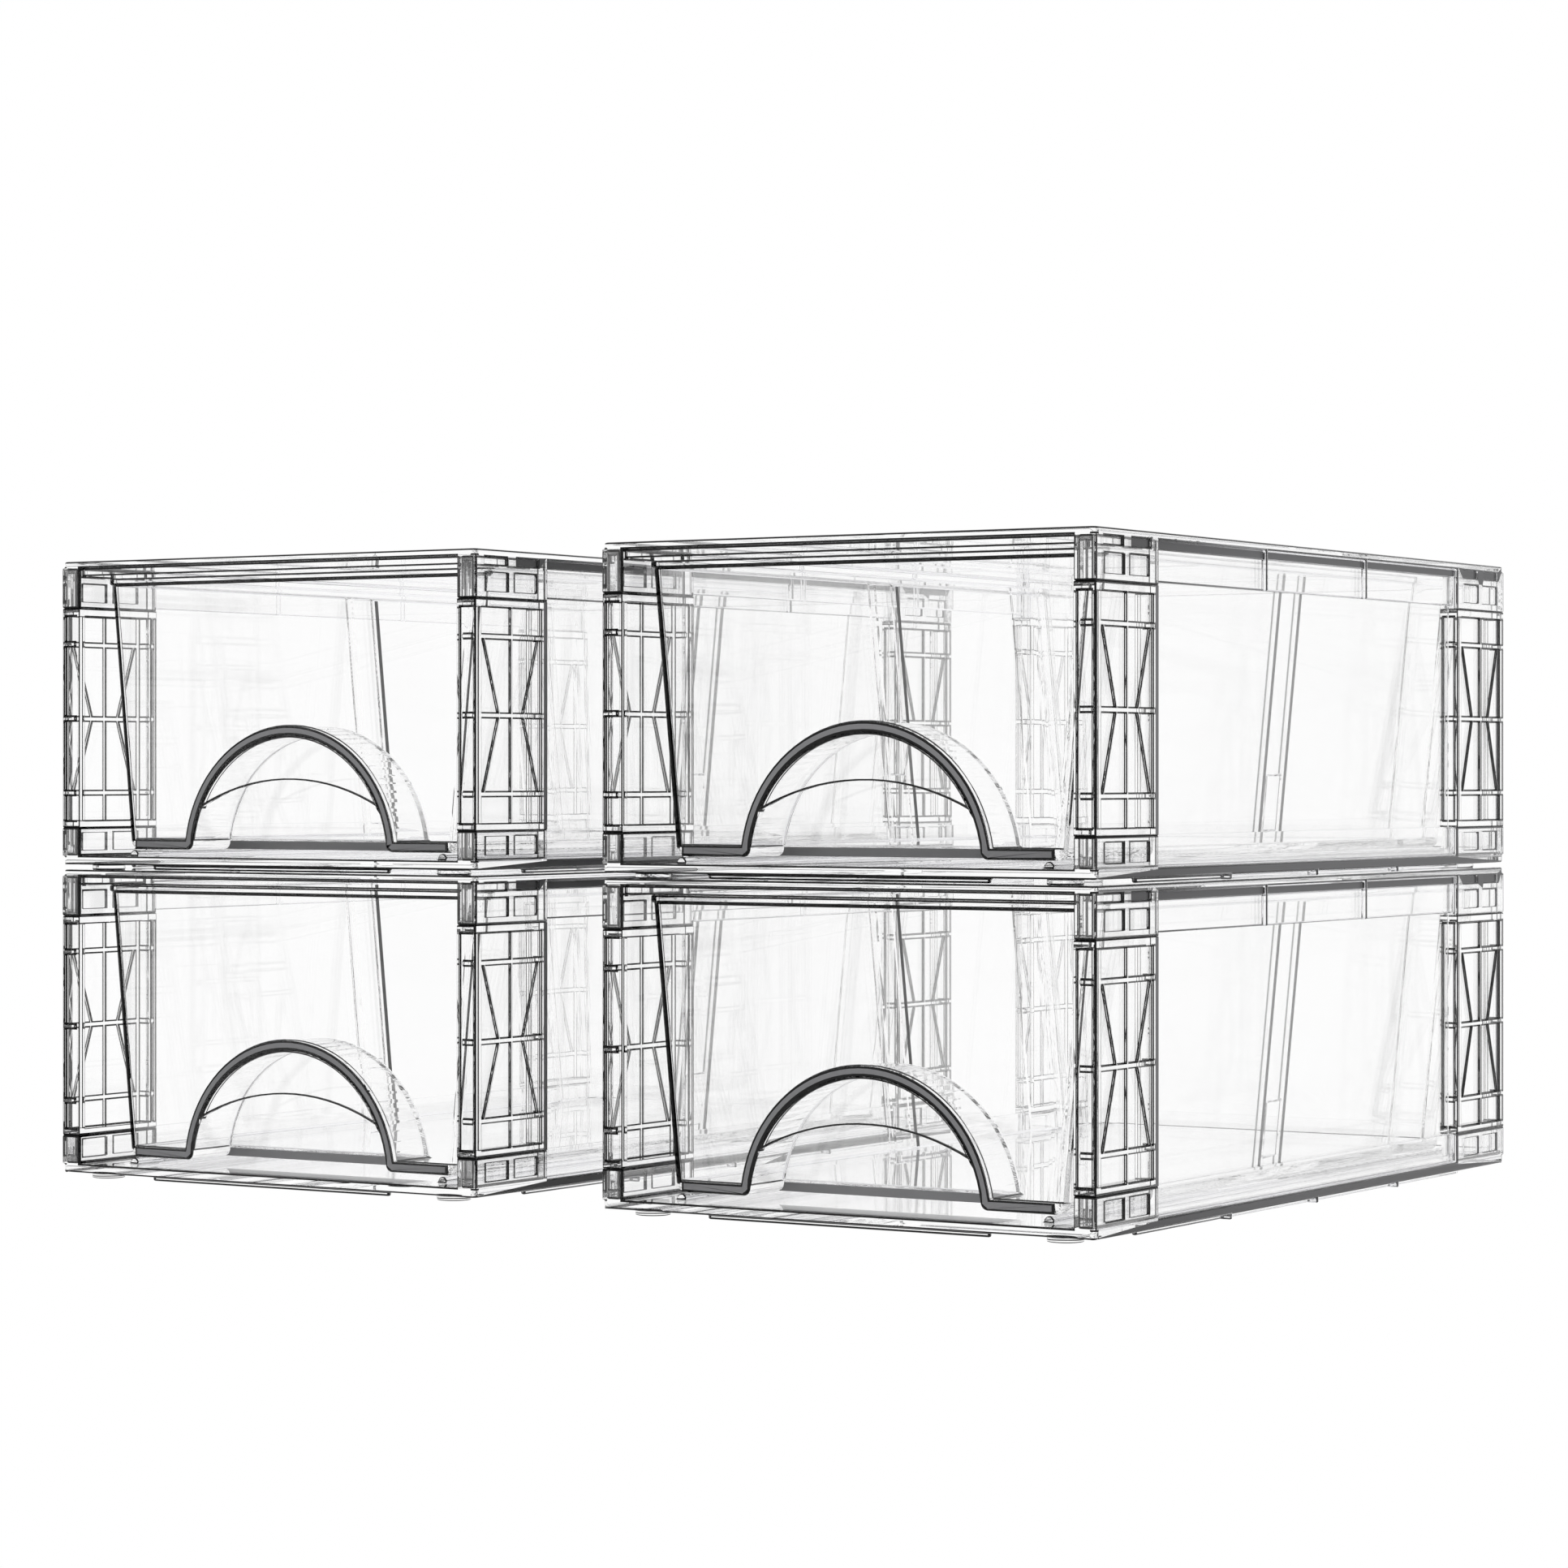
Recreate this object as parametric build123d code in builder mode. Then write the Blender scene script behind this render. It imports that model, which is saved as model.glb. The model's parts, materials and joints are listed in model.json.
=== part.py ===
"""Clear stacking storage drawers: two stacks of two, each unit a case with one pull-out drawer.

Every unit is a base panel and a top panel joined by four ladder-ribbed corner posts whose
tenons plug into moulded sockets, two side sheets and a back sheet held between the panels'
flanges, four round feet, and a tapered tub drawer with a vaulted finger pull.

Frame: origin under the middle of the whole group, on the surface it stands on,
+X to the right, fronts towards -Y, +Z up. Millimetres.
A unit is modelled in its own frame: X from its middle, Y = 0 at its front, Z = 0 at its feet.
"""
from build123d import *
from math import atan2, cos, degrees, sin
import os

os.makedirs("parts", exist_ok=True)

# ---------------------------------------------------------------- overall sizes
unit_width = 210.0          # over the panels, left to right
unit_depth = 362.0          # over the panels, front to back
unit_height = 126.2         # feet to top face, and so the stacking pitch
stack_gap = 63.4            # clear space between the two stacks
left_setback = 6.0          # left stack stands this much further back

# ---------------------------------------------------------------- clearances
seat_gap = 0.3              # loose pieces above or beside what carries them
tenon_gap = 0.15            # post tenon to its socket wall, all round
sheet_gap = 0.2             # sheet to the flanges each side of it
skirt_lift = 0.2            # base skirt stays this far above the surface

# ---------------------------------------------------------------- panels
plate_thick = 2.7           # top plate
base_thick = 3.6            # base plate
plate_corner = 2.5          # corner radius of both plates, in plan
rail_inset = 2.0            # flanges stand in from the plate edge
flange_wall = 1.6           # skirts and kerbs
skirt_drop = 18.0           # top face to the lower edge of the side skirts
front_drop = 6.0            # top face to the lower edge of the front rail
neck_drop = 6.1             # top face to the upper edge of the corner sockets
band_proud = 0.6            # thicker band of the side skirts, level with that recess
rear_drop = 8.7             # top face to the lower edge of the rear rail
kerb_height = 17.5          # surface to the upper edge of the side and rear kerbs
retainer_height = 3.0       # low inner rib that holds a sheet against its flange
retainer_wall = 1.2
base_skirt_inset = 4.0      # skirt under the base plate
base_skirt_wall = 2.0
base_skirt_side_end = 38.0  # its ends from the front and the rear, along the sides
base_skirt_front_end = 45.0 # its ends from the sides, along the front and the rear
skirt_rib_width = 1.4       # upright ribs on the outside of the skirts
skirt_rib_offset = 44.5     # from mid-depth
base_rib_offset = 74.5      # from mid-depth
neck_inset = 2.0            # recess between a plate and its corner socket
neck_block = 6.0            # blocks that bridge that recess

# ---------------------------------------------------------------- posts and sockets
post_width = 9.0            # across, in X
post_depth = 48.0           # along the side, in Y
socket_drop = 19.1          # top face to the mouth of the upper socket
socket_mouth = 17.2         # surface to the mouth of the lower socket
socket_wall = 1.4
window_width = 14.0         # snap windows in the outer socket wall
window_height = 7.0
window_pitch = 19.0
upper_collar = 3.2
lower_collar = 2.7
relief = 1.0                # depth of the recesses between the ribs
post_wall = 1.8             # outer wall left behind the inner pocket
end_wall = 3.8              # end walls of the channel
rib_height = 1.9            # the three level ribs
rib_pitch = 30.5
centre_rib = 1.4            # upright rib
brace_width = 1.0           # slanting braces
brace_outer = 18.3          # from the post's middle, at the upper and lower ribs
brace_inner = 7.9           # from the post's middle, at the middle rib
panel_margin = 4.2          # plain border of the side face
end_margin = 1.2            # plain border of the end faces

# ---------------------------------------------------------------- sheets
sheet_thick = 1.6

# ---------------------------------------------------------------- feet
foot_diameter = 13.4
foot_height = 2.1
foot_side = 17.0            # centre from the side of the plate
foot_front = 9.2            # centre from the front and from the back of the plate

# ---------------------------------------------------------------- drawer
drawer_setback = 16.2       # front wall behind the front of the plates
drawer_bottom = 8.3         # surface to the underside
drawer_top_gap = 0.5        # rim below the front rail
drawer_side_gap = 0.8       # rim to the posts
drawer_rear_gap = 5.6       # rim to the back sheet
drawer_side_taper = 10.8    # each side wall leans out by this much
drawer_rear_taper = 6.0
drawer_wall = 2.6
drawer_floor = 3.9
front_corner = 3.6          # plan radii
rear_corner = 9.0
belly_edge = 3.4            # rounded lower edge
rim_lip = 1.0               # bead round the rim
rim_height = 2.7
dent_rear = 42.0            # shallow waist in each side wall, in front of the rear wall
dent_half = 17.0
dent_depth = 6.5
dent_radius = 14.0
guide_spread = 9.0          # divider guide ribs, each side of mid-depth
guide_rib = 2.4
guide_proud = 2.4
pad_proud = 1.2
guide_bite = 0.5            # how far the guides run into the wall and the floor
pad_width = 12.0            # stop pad low down between the guide ribs
pad_height = 22.0
pad_lift = 5.0

# ---------------------------------------------------------------- finger pull
pull_radius = 49.7          # inside of the vault
pull_wall = 3.9
pull_drop = 3.5             # centre of the arch below the drawer's underside
pull_depth = 24.0           # front of the drawer to the back wall of the vault
pull_lip_drop = 17.7        # crescent lip: crown of the vault to its lower edge
pull_lip_radius = 97.5
pull_flare = 3.0            # the legs' lower corners turn outwards
bead_proud = 0.4            # bead round the pull and along the drawer's foot
sill_height = 3.6           # bead along the foot of the back wall

# ---------------------------------------------------------------- runners
runner_inset = 4.8          # centre inboard of the drawer's lower edge
runner_width = 4.0
runner_crown = 1.2          # bevel of the runner's top edges
runner_front = 14.0         # front end, from the front of the plates

# ---------------------------------------------------------------- levels worked out
top_under = unit_height - plate_thick
base_top = foot_height + base_thick
upper_mouth = unit_height - socket_drop
body_top = upper_mouth - upper_collar
body_bottom = socket_mouth + lower_collar
body_height = body_top - body_bottom
body_middle = (body_top + body_bottom) / 2
drawer_top = unit_height - front_drop - drawer_top_gap
drawer_height = drawer_top - drawer_bottom
mid_depth = unit_depth / 2
half_width = unit_width / 2
post_x = half_width - post_width / 2
post_fronts = (post_depth / 2, unit_depth - post_depth / 2)
open_depth = unit_depth - 2 * post_depth
open_width = unit_width - 2 * post_width
sheet_offset = rail_inset + flange_wall + sheet_gap
retainer_offset = sheet_offset + sheet_thick + sheet_gap
drawer_half_top = half_width - post_width - drawer_side_gap - rim_lip
drawer_half_bottom = drawer_half_top - drawer_side_taper
drawer_rear_top = unit_depth - sheet_offset - sheet_thick - drawer_rear_gap - rim_lip
drawer_rear_bottom = drawer_rear_top - drawer_rear_taper
dent_centre = drawer_rear_top - dent_rear


def bar(size, centre, low, high):
    """A plain upright block: size and centre in plan, from one level to another."""
    with BuildPart() as block:
        with BuildSketch(Plane.XY.offset(low)):
            with Locations(centre):
                Rectangle(*size)
        extrude(amount=high - low)
    return block.part


def side_bars(inset, wall, low, high, length=open_depth):
    """A pair of blocks along the two sides, between the posts."""
    x = half_width - inset - wall / 2
    return [bar((wall, length), (side * x, mid_depth), low, high) for side in (-1, 1)]


def cross_bar(inset, wall, low, high, rear):
    """A block across the front or the rear, between the posts."""
    y = unit_depth - inset - wall / 2 if rear else inset + wall / 2
    return bar((open_width, wall), (0, y), low, high)


def plate(low, thick):
    """A panel's plate with its rounded corners."""
    with BuildPart() as slab:
        with BuildSketch(Plane.XY.offset(low)):
            with Locations((0, mid_depth)):
                RectangleRounded(unit_width, unit_depth, plate_corner)
        extrude(amount=thick)
    return slab.part


def corner_places(x, ys):
    return [(side * x, y) for side in (-1, 1) for y in ys]


def sockets(mouth, root, neck):
    """Four open-mouthed corner sockets: a boxed wall with two snap windows in its outer face.
    Where the neck level is not the root's, a recess bridged by three small blocks lies between."""
    low, high = min(mouth, neck), max(mouth, neck)
    with BuildPart() as group:
        with BuildSketch(Plane.XY.offset(low)):
            with Locations(*corner_places(post_x, post_fronts)):
                Rectangle(post_width, post_depth)
        extrude(amount=high - low)
        if neck != root:
            with BuildSketch(Plane.XY.offset(min(neck, root))):
                with Locations(*corner_places(post_x, post_fronts)):
                    Rectangle(post_width - neck_inset, post_depth - neck_inset)
                for shift in (-1, 0, 1):
                    with Locations(*[(x, y + shift * (post_depth - neck_block) / 2)
                                     for x, y in corner_places(post_x, post_fronts)]):
                        Rectangle(post_width, neck_block)
            extrude(amount=abs(neck - root))
        with BuildSketch(Plane.XY.offset(min(mouth, root))):
            with Locations(*corner_places(post_x, post_fronts)):
                Rectangle(post_width - 2 * socket_wall, post_depth - 2 * socket_wall)
        extrude(amount=abs(root - mouth), mode=Mode.SUBTRACT)
        for side in (-1, 1):
            with BuildSketch(Plane.YZ.offset(side * half_width)):
                with Locations(*[(y + shift * window_pitch / 2, (low + high) / 2)
                                 for y in post_fronts for shift in (-1, 1)]):
                    Rectangle(window_width, window_height)
            extrude(amount=-side * socket_wall, mode=Mode.SUBTRACT)
    return group.part


# ---------------------------------------------------------------- top panel
with BuildPart() as top_panel:
    add(plate(top_under, plate_thick))
    add(side_bars(rail_inset, flange_wall, unit_height - skirt_drop, top_under))
    add(side_bars(rail_inset - band_proud, flange_wall, unit_height - neck_drop, top_under))
    add(side_bars(retainer_offset, retainer_wall, top_under - retainer_height, top_under))
    add(cross_bar(rail_inset, flange_wall, unit_height - front_drop, top_under, rear=False))
    add(cross_bar(rail_inset, flange_wall, unit_height - rear_drop, top_under, rear=True))
    add(cross_bar(retainer_offset, retainer_wall, top_under - retainer_height, top_under, rear=True))
    add(sockets(upper_mouth, top_under, unit_height - neck_drop))
    with BuildSketch(Plane.XY.offset(unit_height - skirt_drop)):
        with Locations(*corner_places(half_width - rail_inset / 2,
                                      (mid_depth - skirt_rib_offset, mid_depth + skirt_rib_offset))):
            Rectangle(rail_inset, skirt_rib_width)
    extrude(amount=skirt_drop - plate_thick)

# ---------------------------------------------------------------- base panel
runner_x = drawer_half_bottom - runner_inset
runner_top = drawer_bottom - seat_gap
runner_length = unit_depth - retainer_offset - retainer_wall - runner_front
base_skirt_depth = unit_depth - 2 * base_skirt_side_end
base_skirt_width = unit_width - 2 * base_skirt_front_end
with BuildPart() as base_panel:
    add(plate(foot_height, base_thick))
    add(side_bars(rail_inset, flange_wall, base_top, kerb_height))
    add(side_bars(retainer_offset, retainer_wall, base_top, base_top + retainer_height))
    add(cross_bar(rail_inset, flange_wall, base_top, kerb_height, rear=True))
    add(cross_bar(retainer_offset, retainer_wall, base_top, base_top + retainer_height, rear=True))
    add(sockets(socket_mouth, base_top, base_top))
    with BuildSketch(Plane.XY.offset(skirt_lift)):
        with Locations((0, mid_depth)):
            Rectangle(unit_width - 2 * base_skirt_inset, base_skirt_depth)
            Rectangle(unit_width - 2 * base_skirt_inset - 2 * base_skirt_wall, base_skirt_depth,
                      mode=Mode.SUBTRACT)
            for edge in (-1, 1):
                with Locations((0, edge * (mid_depth - base_skirt_inset - base_skirt_wall / 2))):
                    Rectangle(base_skirt_width, base_skirt_wall)
        with Locations(*corner_places(half_width - base_skirt_inset / 2,
                                      (mid_depth - base_rib_offset, mid_depth,
                                       mid_depth + base_rib_offset))):
            Rectangle(base_skirt_inset, skirt_rib_width)
    extrude(amount=foot_height - skirt_lift)
    with BuildSketch(Plane.XZ.offset(-runner_front)) as runner_ends:
        with Locations((-runner_x, (base_top + runner_top) / 2), (runner_x, (base_top + runner_top) / 2)):
            Rectangle(runner_width, runner_top - base_top)
        chamfer(runner_ends.vertices().group_by(Axis.Y)[-1], runner_crown)
    extrude(amount=-runner_length)

# ---------------------------------------------------------------- feet
with BuildPart() as feet:
    with Locations(*[(x, y, 0) for x, y in corner_places(
            half_width - foot_side, (foot_front, unit_depth - foot_front))]):
        Cylinder(foot_diameter / 2, foot_height, align=(Align.CENTER, Align.CENTER, Align.MIN))

# ---------------------------------------------------------------- corner post, right-hand
rib_levels = [body_middle + step * rib_pitch for step in (-1, 0, 1)]
outer_face = Plane(origin=(half_width, 0, 0), x_dir=(0, 1, 0), z_dir=(1, 0, 0))


def brace(start, end):
    """One slanting brace of the post's side face, between two points of that face."""
    run = Vector(*end) - Vector(*start)
    with BuildSketch() as strip:
        with Locations(Location(((start[0] + end[0]) / 2, (start[1] + end[1]) / 2),
                                degrees(atan2(run.Y, run.X)))):
            Rectangle(run.length + brace_width, brace_width)
    return strip.sketch


with BuildPart() as post:
    with BuildSketch(Plane.XY.offset(socket_mouth)) as post_plan:
        with Locations((post_x, post_depth / 2)):
            Rectangle(post_width, post_depth)
    extrude(amount=upper_mouth - socket_mouth)
    # ribbed side face: the recess, less the ribs that stay at full height
    with BuildSketch(outer_face) as side_relief:
        with Locations((post_depth / 2, body_middle)):
            Rectangle(post_depth - 2 * panel_margin, body_height)
            Rectangle(centre_rib, body_height, mode=Mode.SUBTRACT)
            for step in (-1, 0, 1):
                with Locations((0, step * rib_pitch)):
                    Rectangle(post_depth, rib_height, mode=Mode.SUBTRACT)
            for side in (-1, 1):
                for end in (-1, 1):
                    add(brace((side * brace_outer, end * rib_pitch), (side * brace_inner, 0)),
                        mode=Mode.SUBTRACT)
    extrude(amount=-relief, mode=Mode.SUBTRACT)
    # both end faces: a tall recess crossed by three rib ends that stop short of the inner border
    for front in (0, post_depth):
        with BuildSketch(Plane.XZ.offset(-front)):
            with Locations((post_x, body_middle)):
                Rectangle(post_width - 2 * end_margin, body_height)
            with Locations(*[(post_x + end_margin, level) for level in rib_levels]):
                Rectangle(post_width - 2 * end_margin, rib_height, mode=Mode.SUBTRACT)
        extrude(amount=relief if front else -relief, mode=Mode.SUBTRACT)
    # the channel is open towards the drawer
    with BuildSketch(Plane.XY.offset(body_bottom)):
        with Locations((post_x - post_wall - relief, post_depth / 2)):
            Rectangle(post_width, post_depth - 2 * end_wall)
    extrude(amount=body_height, mode=Mode.SUBTRACT)
    # tenons
    for low, high in ((base_top + seat_gap, socket_mouth), (upper_mouth, top_under - seat_gap)):
        with BuildSketch(Plane.XY.offset(low)):
            with Locations((post_x, post_depth / 2)):
                Rectangle(post_width - 2 * (socket_wall + tenon_gap),
                          post_depth - 2 * (socket_wall + tenon_gap))
        extrude(amount=high - low)


# ---------------------------------------------------------------- sheets
with BuildPart() as side_sheet:
    with BuildSketch(Plane.XY.offset(base_top)):
        with Locations((half_width - sheet_offset - sheet_thick / 2, mid_depth)):
            Rectangle(sheet_thick, open_depth - 2 * seat_gap)
    extrude(amount=top_under - base_top - seat_gap)

with BuildPart() as back_sheet:
    with BuildSketch(Plane.XY.offset(base_top)):
        with Locations((0, unit_depth - sheet_offset - sheet_thick / 2)):
            Rectangle(open_width - 2 * seat_gap, sheet_thick)
    extrude(amount=top_under - base_top - seat_gap)

# ---------------------------------------------------------------- drawer


def tub(low, high, half, rear, inset, drafted=True, belly=0):
    """The drawer's outline drawn up from one level to another: a straight front, rounded corners,
    walls leaning outwards with the draft, and a shallow waist in each side near the rear."""
    front, back = drawer_setback + inset, rear - inset
    with BuildPart() as form:
        with BuildSketch(Plane.XY.offset(low)):
            with Locations((0, front)):
                Rectangle(2 * (half - inset), back - front, align=(Align.CENTER, Align.MIN))
        extrude(amount=high - low)
        if drafted:
            foot = Plane.XY.offset(low)
            draft(form.faces().filter_by(lambda f: abs(f.normal_at().X) > 0.5), foot, side_angle)
            draft(form.faces().filter_by(lambda f: f.normal_at().Y > 0.9), foot, rear_angle)
        for group, radius in ((0, front_corner), (-1, rear_corner)):
            uprights = form.edges().filter_by(lambda e: abs(e.tangent_at(0).Z) > 0.5)
            fillet(uprights.group_by(Axis.Y)[group], radius - inset)
        if belly:
            fillet(form.edges().group_by(Axis.Z)[0], belly)
        for side in (-1, 1):
            x = side * (half - inset)
            with BuildSketch(Plane.XY.offset(low)) as waist:
                with BuildLine():
                    Polyline((x, dent_centre - dent_half), (x - side * dent_depth, dent_centre),
                             (x, dent_centre + dent_half), (x + side * dent_half, dent_centre),
                             close=True)
                make_face()
                fillet(waist.vertices().sort_by(Axis.X)[0 if side > 0 else -1], dent_radius)
            lean = Vector(side * side_draft if drafted else 0, 0, 1) * (high - low)
            extrude(amount=lean.length, dir=lean, mode=Mode.SUBTRACT)
    return form.part


pull_centre = drawer_bottom - pull_drop
pull_outer = pull_radius + pull_wall
lip_centre = pull_centre + pull_radius - pull_lip_drop - pull_lip_radius
side_draft = (drawer_half_top - drawer_half_bottom) / drawer_height
rear_draft = (drawer_rear_top - drawer_rear_bottom) / drawer_height
wall_slope = atan2(side_draft, 1)
side_angle = -degrees(wall_slope)
rear_angle = -degrees(atan2(rear_draft, 1))
floor_top = drawer_bottom + drawer_floor
floor_half = drawer_half_bottom + side_draft * drawer_floor
floor_rear = drawer_rear_bottom + rear_draft * drawer_floor
guide_height = (drawer_top - rim_height - floor_top) / cos(wall_slope)


def arch(radius, low, front, length):
    """The half-round of the pull, above one level, from one distance back to another."""
    with BuildPart() as half_round:
        with BuildSketch(Plane.XZ.offset(-front)):
            with Locations((0, pull_centre)):
                Circle(radius)
            with Locations((0, low)):
                Rectangle(4 * radius, 4 * radius, align=(Align.CENTER, Align.MAX), mode=Mode.SUBTRACT)
        extrude(amount=-length)
    return half_round.part


def hollow(front, length, lipped=False):
    """The pull's opening, its lower corners rounded out into the underside, with or without the
    crescent lip that hangs from its crown."""
    with BuildPart() as opening:
        with BuildSketch(Plane.XZ.offset(-front)) as section:
            with Locations((0, pull_centre)):
                Circle(pull_radius)
            if lipped:
                with Locations((0, lip_centre)):
                    Circle(pull_lip_radius, mode=Mode.INTERSECT)
            with Locations((0, drawer_bottom)):
                Rectangle(4 * pull_radius, 4 * pull_radius, align=(Align.CENTER, Align.MAX),
                          mode=Mode.SUBTRACT)
                Rectangle(2 * pull_radius + 4 * pull_flare, pull_drop, align=(Align.CENTER, Align.MAX))
            legs = section.vertices().filter_by(lambda v: abs(v.X) < pull_radius
                                                and abs(v.Y - drawer_bottom) < 0.01)
            fillet(legs, pull_flare)
        extrude(amount=-length)
    return opening.part


guide_plane = Plane(origin=(floor_half - drawer_wall + guide_bite, mid_depth, floor_top),
                    x_dir=(0, -1, 0), z_dir=(-cos(wall_slope), 0, sin(wall_slope)))
with BuildPart() as divider_guide:
    # two upright ribs and a low stop pad, square to the sloping side wall
    with BuildSketch(guide_plane):
        with Locations((-guide_spread, -guide_bite), (guide_spread, -guide_bite)):
            Rectangle(guide_rib, guide_height, align=(Align.CENTER, Align.MIN))
    extrude(amount=guide_proud + guide_bite)
    with BuildSketch(guide_plane):
        with Locations((0, pad_lift)):
            Rectangle(pad_width, pad_height, align=(Align.CENTER, Align.MIN))
    extrude(amount=pad_proud + guide_bite)

with BuildPart() as drawer:
    add(tub(drawer_bottom, drawer_top, drawer_half_bottom, drawer_rear_bottom, 0, belly=belly_edge))
    add(tub(drawer_top - rim_height, drawer_top, drawer_half_top, drawer_rear_top, -rim_lip,
            drafted=False))
    add(tub(floor_top, drawer_top, floor_half, floor_rear, drawer_wall), mode=Mode.SUBTRACT)
    add(divider_guide.part)
    add(divider_guide.part.mirror(Plane.YZ))
    # vaulted finger pull: its shell and the beads in front of it, its hollow, the mouth below the
    # crescent lip, then the sill along the foot of the back wall
    add(arch(pull_outer, drawer_bottom + drawer_floor / 2, drawer_setback - bead_proud,
             pull_depth + drawer_wall / 2 + bead_proud))
    bead_y = drawer_setback + (drawer_wall - bead_proud) / 2
    add(bar((2 * (drawer_half_bottom - front_corner), drawer_wall + bead_proud), (0, bead_y),
            drawer_bottom, floor_top))
    add(hollow(drawer_setback + drawer_wall, pull_depth - drawer_wall), mode=Mode.SUBTRACT)
    add(hollow(drawer_setback, drawer_wall, lipped=True), mode=Mode.SUBTRACT)
    add(hollow(drawer_setback - bead_proud, bead_proud), mode=Mode.SUBTRACT)
    sill_y = drawer_setback + pull_depth
    add(bar((2 * (pull_radius + pull_wall / 2), 2 * bead_proud), (0, sill_y),
            drawer_bottom, drawer_bottom + sill_height))

# ---------------------------------------------------------------- the four units
post_shift = Location((0, unit_depth - post_depth, 0))
left_post = post.part.mirror(Plane.YZ)
unit_pieces = {
    "base_panel": base_panel.part,
    "top_panel": top_panel.part,
    "post_front_right": post.part,
    "post_rear_right": post.part.moved(post_shift),
    "post_front_left": left_post,
    "post_rear_left": left_post.moved(post_shift),
    "side_sheet_right": side_sheet.part,
    "side_sheet_left": side_sheet.part.mirror(Plane.YZ),
    "back_sheet": back_sheet.part,
    "feet": feet.part,
    "drawer": drawer.part,
}
stack_x = (unit_width + stack_gap) / 2
front_y = -(unit_depth + left_setback) / 2
units = {
    "lower_left": (-stack_x, front_y + left_setback, 0),
    "lower_right": (stack_x, front_y, 0),
    "upper_left": (-stack_x, front_y + left_setback, unit_height),
    "upper_right": (stack_x, front_y, unit_height),
}
for unit, place in units.items():
    for name, piece in unit_pieces.items():
        node = piece.moved(Location(place))
        node.label = f"{unit}_{name}"
        export_step(node, f"parts/{node.label}.step")
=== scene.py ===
import bpy
import bmesh
import json
from math import radians
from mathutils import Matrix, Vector
from mathutils.bvhtree import BVHTree


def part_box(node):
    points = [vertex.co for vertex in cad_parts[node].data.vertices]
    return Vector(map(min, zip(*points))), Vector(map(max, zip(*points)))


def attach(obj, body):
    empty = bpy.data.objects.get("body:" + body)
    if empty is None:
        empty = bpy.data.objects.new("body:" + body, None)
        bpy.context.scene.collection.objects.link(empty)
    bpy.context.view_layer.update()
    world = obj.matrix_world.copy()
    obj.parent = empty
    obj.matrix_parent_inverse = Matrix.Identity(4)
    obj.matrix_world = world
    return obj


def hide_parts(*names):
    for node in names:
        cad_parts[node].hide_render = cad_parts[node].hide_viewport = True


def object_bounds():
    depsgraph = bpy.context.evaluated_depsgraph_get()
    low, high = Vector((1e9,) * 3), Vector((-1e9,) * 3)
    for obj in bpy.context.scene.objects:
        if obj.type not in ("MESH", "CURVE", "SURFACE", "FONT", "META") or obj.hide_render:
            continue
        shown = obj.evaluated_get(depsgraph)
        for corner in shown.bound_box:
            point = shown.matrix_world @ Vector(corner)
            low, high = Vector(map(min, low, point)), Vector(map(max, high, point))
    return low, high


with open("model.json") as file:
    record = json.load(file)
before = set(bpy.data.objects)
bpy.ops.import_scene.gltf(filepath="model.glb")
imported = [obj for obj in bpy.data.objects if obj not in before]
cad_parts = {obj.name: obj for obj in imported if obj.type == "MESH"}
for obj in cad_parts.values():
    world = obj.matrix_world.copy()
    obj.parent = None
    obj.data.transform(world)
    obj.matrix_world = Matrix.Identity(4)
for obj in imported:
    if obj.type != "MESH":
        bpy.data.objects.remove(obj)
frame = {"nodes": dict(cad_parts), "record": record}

cad_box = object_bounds()


# ---- Studio ----------------------------------------------------------------------------
# A white table under a white sky. The plastic shows that white through every wall; the greys and
# blacks of its rounded edges and of places seen edge-on are painted shade in their materials.
def white_to_view(tree, lit, white):
    """Mix two shaders: white for what the camera sees, straight or through the plastic."""
    rays = tree.nodes.new("ShaderNodeLightPath")
    either = tree.nodes.new("ShaderNodeMath")
    either.operation = "MAXIMUM"
    tree.links.new(rays.outputs["Is Camera Ray"], either.inputs[0])
    tree.links.new(rays.outputs["Is Glossy Ray"], either.inputs[1])
    any_of = tree.nodes.new("ShaderNodeMath")
    any_of.operation = "MAXIMUM"
    tree.links.new(either.outputs[0], any_of.inputs[0])
    tree.links.new(rays.outputs["Is Transmission Ray"], any_of.inputs[1])
    mix = tree.nodes.new("ShaderNodeMixShader")
    tree.links.new(any_of.outputs[0], mix.inputs[0])
    tree.links.new(lit.outputs[0], mix.inputs[1])
    tree.links.new(white.outputs[0], mix.inputs[2])
    return mix


sky = bpy.data.worlds.new("studio_sky")
bpy.context.scene.world = sky
sky.use_nodes = True
sky_tree = sky.node_tree
sky_tree.nodes.clear()
soft_light = sky_tree.nodes.new("ShaderNodeBackground")
soft_light.inputs["Strength"].default_value = 0.75
white_sky = sky_tree.nodes.new("ShaderNodeBackground")
white_sky.inputs["Color"].default_value = (1, 1, 1, 1)
sky_out = sky_tree.nodes.new("ShaderNodeOutputWorld")
sky_seen = white_to_view(sky_tree, soft_light, white_sky)
sky_tree.links.new(sky_seen.outputs[0], sky_out.inputs["Surface"])

bpy.ops.object.select_all(action="DESELECT")
bpy.ops.mesh.primitive_plane_add(size=12, location=(0, 0, 0))
table = bpy.context.object
table.name = "white_table"
table_white = bpy.data.materials.new("table_white")
table_white.use_nodes = True
table_tree = table_white.node_tree
table_tree.nodes.clear()
matt = table_tree.nodes.new("ShaderNodeBsdfDiffuse")
matt.inputs["Color"].default_value = (0.9, 0.9, 0.9, 1)
glow = table_tree.nodes.new("ShaderNodeEmission")
table_out = table_tree.nodes.new("ShaderNodeOutputMaterial")
table_seen = white_to_view(table_tree, matt, glow)
table_tree.links.new(table_seen.outputs[0], table_out.inputs["Surface"])
table.data.materials.append(table_white)
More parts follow.
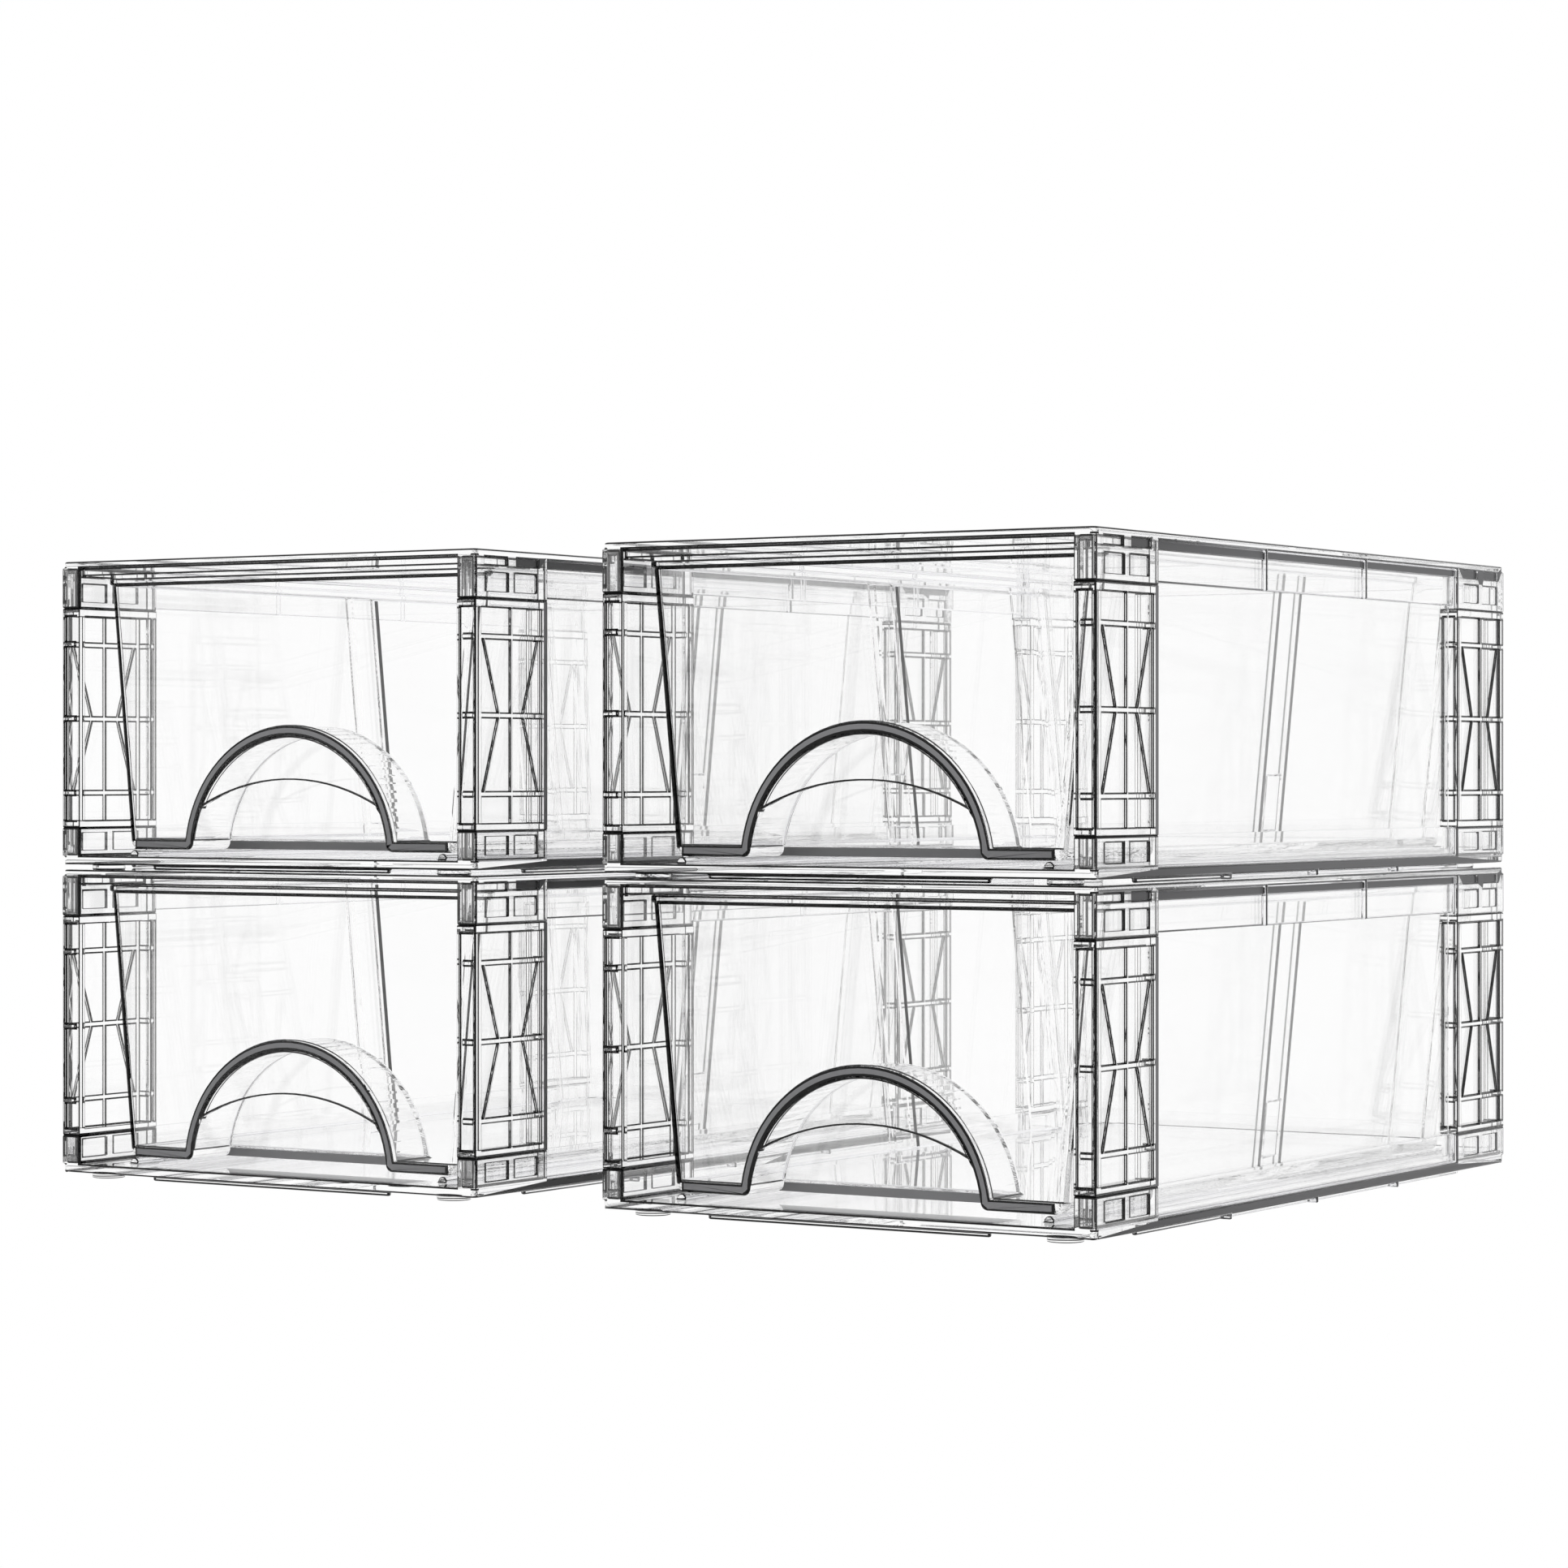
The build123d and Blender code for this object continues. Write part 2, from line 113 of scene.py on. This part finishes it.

# ---- Base panels -----------------------------------------------------------------------
# The floor of each unit: one clear styrene moulding with kerbs, open corner sockets and runners.
# Its edges come off the mould with a small radius, which carries painted shade, black near the
# front and paler with depth; its right side gets a painted grey band of shade and darker painted
# shade on its deep edges.
UNITS = ("lower_left", "lower_right", "upper_left", "upper_right")
BODY_OF = {node: body for body, nodes in frame["record"]["behaviour"]["bodies"].items()
           for node in nodes}


STYRENE_IOR = 1.49


def clear_styrene(name, tint):
    """Polished clear plastic. Flow marks tint it and change its polish a little, and its surface is
    flat: the bump's strength is nothing."""
    plastic = bpy.data.materials.new(name)
    plastic.use_nodes = True
    tree = plastic.node_tree
    surface = tree.nodes["Principled BSDF"]
    surface.inputs["IOR"].default_value = STYRENE_IOR
    surface.inputs["Transmission Weight"].default_value = 1.0
    place = tree.nodes.new("ShaderNodeTexCoord")
    flow = tree.nodes.new("ShaderNodeTexNoise")
    flow.inputs["Scale"].default_value = 9.0
    flow.inputs["Detail"].default_value = 1.0
    tree.links.new(place.outputs["Object"], flow.inputs["Vector"])
    colour = tree.nodes.new("ShaderNodeValToRGB")
    colour.color_ramp.elements[0].color = (tint, tint, tint, 1)
    colour.color_ramp.elements[1].color = (1, 1, 1, 1)
    tree.links.new(flow.outputs["Fac"], colour.inputs["Fac"])
    tree.links.new(colour.outputs["Color"], surface.inputs["Base Color"])
    polish = tree.nodes.new("ShaderNodeMapRange")
    polish.inputs["To Min"].default_value = 0.0
    polish.inputs["To Max"].default_value = 0.002
    tree.links.new(flow.outputs["Fac"], polish.inputs["Value"])
    tree.links.new(polish.outputs["Result"], surface.inputs["Roughness"])
    ripple = tree.nodes.new("ShaderNodeBump")
    ripple.inputs["Strength"].default_value = 0.0
    ripple.inputs["Distance"].default_value = 0.0002
    tree.links.new(flow.outputs["Fac"], ripple.inputs["Height"])
    tree.links.new(ripple.outputs["Normal"], surface.inputs["Normal"])
    return plastic


def painted_shade_rounded_edge(name, shades, clearness=0.2, gloss=0.1):
    """A moulding's rounded edge in painted shade: black near the open front, paler deep inside the
    unit. The shades are those at the front, 60 mm in, 130 mm in and at the rear."""
    edge = bpy.data.materials.new(name)
    edge.use_nodes = True
    tree = edge.node_tree
    surface = tree.nodes["Principled BSDF"]
    surface.inputs["IOR"].default_value = STYRENE_IOR
    surface.inputs["Transmission Weight"].default_value = clearness
    surface.inputs["Specular IOR Level"].default_value = gloss
    place = tree.nodes.new("ShaderNodeTexCoord")
    split = tree.nodes.new("ShaderNodeSeparateXYZ")
    tree.links.new(place.outputs["Object"], split.inputs["Vector"])
    depth = tree.nodes.new("ShaderNodeMapRange")
    depth.inputs["From Min"].default_value = cad_box[0][1]
    depth.inputs["From Max"].default_value = cad_box[1][1]
    tree.links.new(split.outputs["Y"], depth.inputs["Value"])
    shade = tree.nodes.new("ShaderNodeValToRGB")
    ramp = shade.color_ramp
    ramp.elements[0].position, ramp.elements[1].position = 0.05, 1.0
    ramp.elements.new(0.16)
    ramp.elements.new(0.35)
    for stop, grey in zip(ramp.elements, shades):
        stop.color = (grey, grey, grey * 1.03, 1)
    tree.links.new(depth.outputs["Result"], shade.inputs["Fac"])
    tree.links.new(shade.outputs["Color"], surface.inputs["Base Color"])
    grain = tree.nodes.new("ShaderNodeTexNoise")
    grain.inputs["Scale"].default_value = 400.0
    tree.links.new(place.outputs["Object"], grain.inputs["Vector"])
    polish = tree.nodes.new("ShaderNodeMapRange")
    polish.inputs["To Min"].default_value = 0.06
    polish.inputs["To Max"].default_value = 0.14
    tree.links.new(grain.outputs["Fac"], polish.inputs["Value"])
    tree.links.new(polish.outputs["Result"], surface.inputs["Roughness"])
    pits = tree.nodes.new("ShaderNodeBump")
    pits.inputs["Strength"].default_value = 0.005
    pits.inputs["Distance"].default_value = 0.0001
    tree.links.new(grain.outputs["Fac"], pits.inputs["Height"])
    tree.links.new(pits.outputs["Normal"], surface.inputs["Normal"])
    return edge


def edge_turn(corner, first, second):
    """Cosine between two edges as they leave a corner: -1 where one runs on into the other."""
    out = [(edge.other_vert(corner).co - corner.co).normalized() for edge in (first, second)]
    return out[0].dot(out[1])


NEEDLE, RUNS_ON, SAME_RUN = 0.9, -0.85, -0.7     # cosines that edge_turn is held against


def room_beside(edge, sharp):
    """What a rounding has to fit in: the length of the shortest sharp edge that runs away from this
    one, and nothing at a needle-sharp corner of a face."""
    room = 1.0
    for face in edge.link_faces:
        for other in face.edges:
            if other is edge or other.calc_face_angle(0) < sharp:
                continue
            for corner in set(other.verts) & set(edge.verts):
                turn = edge_turn(corner, edge, other)
                if turn > NEEDLE:
                    return 0.0
                if turn > RUNS_ON:
                    room = min(room, other.calc_length())
    return room


def even_out(shell, weight):
    """Give edges that run on into each other one rounding, the smallest of theirs."""
    uneven = True
    while uneven:
        uneven = False
        for corner in shell.verts:
            sharp = [edge for edge in corner.link_edges if edge[weight] > 0]
            for first in sharp:
                for second in sharp:
                    if (edge_turn(corner, first, second) < SAME_RUN
                            and first[weight] > second[weight] * 1.01):
                        first[weight] = second[weight]
                        uneven = True


SETTLE_SHARE = 0.6


def settle(piece, cad, reach):
    """Lay any corner that a rounding or an inset threw far off the CAD surface back onto it, and
    keep every corner inside the node's own box."""
    cad.data.calc_loop_triangles()
    surface = BVHTree.FromPolygons([v.co for v in cad.data.vertices],
                                   [tuple(face.vertices) for face in cad.data.loop_triangles])
    low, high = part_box(cad.name)
    for corner in piece.data.vertices:
        place, _, _, off = surface.find_nearest(corner.co)
        if off > reach:
            corner.co = place
        for k in range(3):
            corner.co[k] = min(max(corner.co[k], low[k]), high[k])


def moulded(node, clear_and_shades, radius, deep_share=1.0, front_reach=0.055, deep_from=0.12,
            rounds=lambda edge: True):
    """The shown copy of a CAD node, merged and with its edges rounded. Its materials are its clear
    wall, the painted shade of its edges and deep edges, and any other painted shades. Edges near
    the open front get the whole radius, deeper ones a share of it, and none gets more than it has
    room for."""
    sharp, flat = radians(35), radians(2)
    fill = 0.42
    edge_slot, deep_slot = 1, 2
    cad = frame["nodes"][node]
    piece = cad.copy()
    piece.data = cad.data.copy()
    piece.name = node + "_shown"
    bpy.context.collection.objects.link(piece)
    piece.parent = None
    piece.data.materials.clear()
    for clear_or_shade in clear_and_shades:
        piece.data.materials.append(clear_or_shade)
    bpy.ops.object.select_all(action="DESELECT")
    piece.select_set(True)
    bpy.context.view_layer.objects.active = piece
    bpy.ops.object.mode_set(mode="EDIT")
    bpy.ops.mesh.select_all(action="SELECT")
    bpy.ops.mesh.remove_doubles(threshold=1e-6)
    bpy.ops.mesh.dissolve_limited(angle_limit=flat)
    bpy.ops.mesh.vert_connect_concave()
    bpy.ops.object.mode_set(mode="OBJECT")
    if "custom_normal" in piece.data.attributes:
        piece.data.attributes.remove(piece.data.attributes["custom_normal"])
    for face in piece.data.polygons:
        face.material_index = 0
    shell = bmesh.new()
    shell.from_mesh(piece.data)
    weight = shell.edges.layers.float.new("bevel_weight_edge")
    front = min(v.co.y for v in shell.verts)
    for edge in shell.edges:
        if edge.calc_face_angle(0) > sharp and rounds(edge):
            near = (edge.verts[0].co.y + edge.verts[1].co.y) / 2 < front + front_reach
            edge[weight] = min(1 if near else deep_share, fill * room_beside(edge, sharp) / radius)
    even_out(shell, weight)
    shell.to_mesh(piece.data)
    shell.free()
    rounding = piece.modifiers.new("rounded_edges", "BEVEL")
    rounding.width = radius
    rounding.segments = 2
    rounding.limit_method = "WEIGHT"
    rounding.material = edge_slot
    rounding.use_clamp_overlap = False
    bpy.ops.object.shade_flat()
    bpy.ops.object.modifier_apply(modifier=rounding.name)
    settle(piece, cad, SETTLE_SHARE * radius)
    for face in piece.data.polygons:
        if face.material_index == edge_slot and face.center.y > front + deep_from:
            face.material_index = deep_slot
    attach(piece, BODY_OF[node])
    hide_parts(node)
    return piece


def paint_shade_on(piece, clear_or_shade, towards, low, high, of=0, within=0.9):
    """Give one painted shade to the faces that look one way and have their middle in a box."""
    slot = piece.data.materials.find(clear_or_shade.name)
    for face in piece.data.polygons:
        if (face.material_index == of and face.normal.dot(towards) > within
                and all(a < c < b for a, c, b in zip(low, face.center, high))):
            face.material_index = slot


RIGHT, FRONT = Vector((1, 0, 0)), Vector((0, -1, 0))
panel_clear = clear_styrene("panel_clear", 0.985)
# Painted shade: edges black near the front and paler deeper in, and on the right side only a grey
# band and darker edges.
panel_edge_shade = painted_shade_rounded_edge("panel_edge_shade", (0.0, 0.03, 0.3, 0.6), 0.4)
deep_edge_shade = painted_shade_rounded_edge("deep_edge_shade", (0.7, 0.8, 0.9, 1.0), 1.0)
side_edge_shade = painted_shade_rounded_edge("side_edge_shade", (0.0, 0.01, 0.05, 0.2))
side_band_shade = painted_shade_rounded_edge("side_band_shade", (0.13, 0.16, 0.2, 0.2), 0.0)
panel_radius = 0.0007
socket_depth = 0.03
skin = 0.001
base_shade_band = (0.0025, 0.0050)
top_shade_band = (0.0060, 0.0030)
band_inset = 0.0035
for unit in UNITS:
    base = moulded(unit + "_base_panel", (panel_clear, panel_edge_shade, deep_edge_shade, side_band_shade, side_edge_shade),
                   panel_radius)
    low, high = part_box(unit + "_base_panel")
    # Painted grey shade on a band of the right side, and darker painted shade on the deep right
    # edges.
    paint_shade_on(base, side_band_shade, RIGHT,
                (high.x - skin, low.y + socket_depth, low.z + base_shade_band[0]),
                (high.x + skin, high.y, low.z + base_shade_band[1]))
    paint_shade_on(base, side_edge_shade, RIGHT, (high.x - skin, low.y, low.z),
                (high.x + skin, high.y, high.z), of=2, within=0.1)

# ---- Top panels ------------------------------------------------------------------------
# The roof of each unit, moulded of the same clear styrene: rails, side skirts and open sockets on
# bridged necks. The grey of its right side band is painted shade, matched to the photograph.
for unit in UNITS:
    top = moulded(unit + "_top_panel", (panel_clear, panel_edge_shade, deep_edge_shade, side_band_shade, side_edge_shade),
                  panel_radius)
    low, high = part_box(unit + "_top_panel")
    # Painted grey shade on a band of the right side, and darker painted shade on the deep right
    # edges.
    paint_shade_on(top, side_band_shade, RIGHT,
                (high.x - band_inset, low.y + socket_depth, high.z - top_shade_band[0]),
                (high.x + skin, high.y, high.z - top_shade_band[1]))
    paint_shade_on(top, side_edge_shade, RIGHT, (high.x - skin, low.y, low.z),
                (high.x + skin, high.y, high.z), of=2, within=0.1)

# ---- Corner posts ----------------------------------------------------------------------
# Four to a unit, each a clear moulding with ribs and slanting braces on its side face and an open
# channel inside. A tenon at each end plugs into the panels' sockets. Its edge and flange greys are
# painted shade.
post_clear = clear_styrene("post_clear", 0.98)
post_edge_shade = painted_shade_rounded_edge("post_edge_shade", (0.0, 0.02, 0.3, 0.6))
flange_shade = painted_shade_rounded_edge("flange_shade", (0.2, 0.3, 0.4, 0.4), 0.0)
# The rear posts' edges are painted shade: black on the right posts, grey on the left ones.
rear_edge_shade = {"right": painted_shade_rounded_edge("rear_edge_outside", (0.0, 0.0, 0.02, 0.03)),
             "left": painted_shade_rounded_edge("rear_edge_inside", (0.5, 0.5, 0.5, 0.5), 0.6)}
post_radius = 0.0006
rear_radius = {"right": 0.0004, "left": 0.0002}
flange_width = 0.0027
face_slack = 0.0002


def paint_flange_shade(post, high):
    """The rear border of the side face looks into the post's end wall: cut it off and give it
    painted grey shade.
    """
    cut = high.y - flange_width
    bpy.ops.object.mode_set(mode="EDIT")
    bpy.ops.mesh.select_all(action="DESELECT")
    bpy.ops.object.mode_set(mode="OBJECT")
    for face in post.data.polygons:
        face.select = face.normal.x > 0.9 and face.center.x > high.x - face_slack
    bpy.ops.object.mode_set(mode="EDIT")
    bpy.ops.mesh.bisect(plane_co=(0, cut, 0), plane_no=(0, 1, 0))
    bpy.ops.object.mode_set(mode="OBJECT")
    paint_shade_on(post, flange_shade, RIGHT, (high.x - face_slack, cut, -1),
                (high.x + face_slack, high.y, 1))


for unit in UNITS:
    for side in ("right", "left"):
        post = moulded(f"{unit}_post_front_{side}", (post_clear, post_edge_shade, deep_edge_shade, flange_shade),
                       post_radius, deep_share=0.55, front_reach=0.003)
        if side == "right":
            paint_flange_shade(post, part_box(f"{unit}_post_front_{side}")[1])
        moulded(f"{unit}_post_rear_{side}", (post_clear, rear_edge_shade[side], rear_edge_shade[side]),
                rear_radius[side])

# ---- Side and back sheets --------------------------------------------------------------
# Flat clear panes, cut from sheet and slipped between the panels' kerbs, skirts and retainers.
# Only their cut ends show, as thin pale lines of painted shade.
sheet_clear = clear_styrene("sheet_clear", 0.99)
sheet_edge_shade = painted_shade_rounded_edge("sheet_edge_shade", (0.6, 0.7, 0.8, 0.8), 0.9)
sheet_radius = 0.0002
for unit in UNITS:
    for pane in ("side_sheet_right", "side_sheet_left", "back_sheet"):
        moulded(f"{unit}_{pane}", (sheet_clear, sheet_edge_shade, sheet_edge_shade), sheet_radius)

# ---- Drawers ---------------------------------------------------------------------------
# The tapered tub that slides on the base panel's runners, a single clear moulding with the vaulted
# finger pull let into its front wall. Grey tones for the bead, the guide ribs and one corner are
# painted shade, matched to the photograph, and so are its edges' blacks and greys.
drawer_clear = clear_styrene("drawer_clear", 0.985)
drawer_edge_shade = painted_shade_rounded_edge("drawer_edge_shade", (0.0, 0.02, 0.4, 0.9), 0.4)
bead_shade = painted_shade_rounded_edge("bead_shade", (0.36, 0.36, 0.36, 0.36), 0.0)
guide_shade = painted_shade_rounded_edge("guide_shade", (0.12, 0.12, 0.12, 0.12), 0.0)
black_corner_shade = painted_shade_rounded_edge("black_corner_shade", (0.0, 0.0, 0.0, 0.0), 0.0)
drawer_radius = 0.0007
bead_back = 0.0006
sill_back = 0.0246
flat_slack = 0.00015
bead_line = 0.0006
corner_reach = 0.0052
front_guide, rear_guide = (0.1554, 0.1582), (0.1734, 0.1762)
guide_reach = 0.016


def not_a_corner(edge):
    """The drawer's upright corners are drawn round already and get no rounding of their own."""
    run = edge.verts[1].co - edge.verts[0].co
    return abs(run.z) < 0.9 * run.length or run.length < 0.012


def outline(piece, towards, low, high, width, shade_line, fill_shade):
    """Paint the dark line of shade that runs round the inside of a raised flat: inset the face in a
    box and give its margin one painted shade and its middle another."""
    line_slot, filled = (piece.data.materials.find(clear_or_shade.name) for clear_or_shade in (shade_line, fill_shade))
    bpy.ops.object.select_all(action="DESELECT")
    piece.select_set(True)
    bpy.context.view_layer.objects.active = piece
    bpy.ops.object.mode_set(mode="EDIT")
    bpy.ops.mesh.select_all(action="DESELECT")
    bpy.ops.object.mode_set(mode="OBJECT")
    for face in piece.data.polygons:
        face.select = (face.material_index == 0 and face.normal.dot(towards) > 0.9
                       and all(a < c < b for a, c, b in zip(low, face.center, high)))
        if face.select:
            face.material_index = line_slot
    bpy.ops.object.mode_set(mode="EDIT")
    bpy.ops.mesh.inset(thickness=width, use_even_offset=False)
    bpy.ops.object.mode_set(mode="OBJECT")
    for face in piece.data.polygons:
        if face.select:
            face.material_index = filled


for unit in UNITS:
    drawer = moulded(unit + "_drawer", (drawer_clear, drawer_edge_shade, deep_edge_shade, bead_shade,
                                        black_corner_shade, guide_shade),
                     drawer_radius, deep_from=0.02, rounds=not_a_corner)
    low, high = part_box(unit + "_drawer")
    # A dark line of painted shade round the bead, with painted grey shade inside it.
    outline(drawer, FRONT, (low.x, low.y + bead_back - flat_slack, low.z),
            (high.x, low.y + bead_back + flat_slack, high.z), bead_line, drawer_edge_shade, bead_shade)
    settle(drawer, frame["nodes"][unit + "_drawer"], SETTLE_SHARE * drawer_radius)
    # Painted grey shade on the sill's front face.
    paint_shade_on(drawer, bead_shade, FRONT, (low.x, low.y + sill_back - flat_slack, low.z),
                (high.x, low.y + sill_back + flat_slack, low.z + 0.004))
    # Painted grey shade on the guide ribs.
    paint_shade_on(drawer, guide_shade, RIGHT, (low.x, low.y + rear_guide[0], low.z),
                (low.x + guide_reach, low.y + rear_guide[1], high.z))
    for start, end in (front_guide, rear_guide):
        paint_shade_on(drawer, guide_shade, -RIGHT, (high.x - guide_reach, low.y + start, low.z),
                    (high.x, low.y + end, high.z))
    # Black painted shade on the front-left upright corner only.
    paint_shade_on(drawer, black_corner_shade, (FRONT - RIGHT).normalized(), (low.x, low.y, low.z + 0.003),
                (low.x + 0.0145, low.y + corner_reach, high.z - 0.001), within=0.7)

# ---- Feet ------------------------------------------------------------------------------
# Round translucent pads pressed under the corners of each base panel.
foot_pad = clear_styrene("foot_pad", 0.9)
# The feet's edges are painted shade, black to pale with depth.
foot_edge_shade = painted_shade_rounded_edge("foot_edge_shade", (0.02, 0.1, 0.4, 0.6))
foot_radius = 0.0004
for unit in UNITS:
    moulded(unit + "_feet", (foot_pad, foot_edge_shade, deep_edge_shade), foot_radius)

# ---- Camera ----------------------------------------------------------------------------
# Lens and place found from the vanishing points of the plates' edges.
image_size = 1932
lens = bpy.data.cameras.new("camera")
lens.lens = 99.8
lens.sensor_width = 36
lens.shift_y = -13.6 / image_size
lens.clip_end = 50
camera = bpy.data.objects.new("camera", lens)
bpy.context.collection.objects.link(camera)
camera.location = (0.9625, -1.5284, 0.1658)
camera.rotation_euler = (radians(90), 0, radians(32.3))
scene = bpy.context.scene
scene.camera = camera
scene.view_settings.view_transform = "Standard"
scene.cycles.max_bounces = 96
scene.cycles.transmission_bounces = 96
scene.cycles.glossy_bounces = 96
scene.cycles.transparent_max_bounces = 40
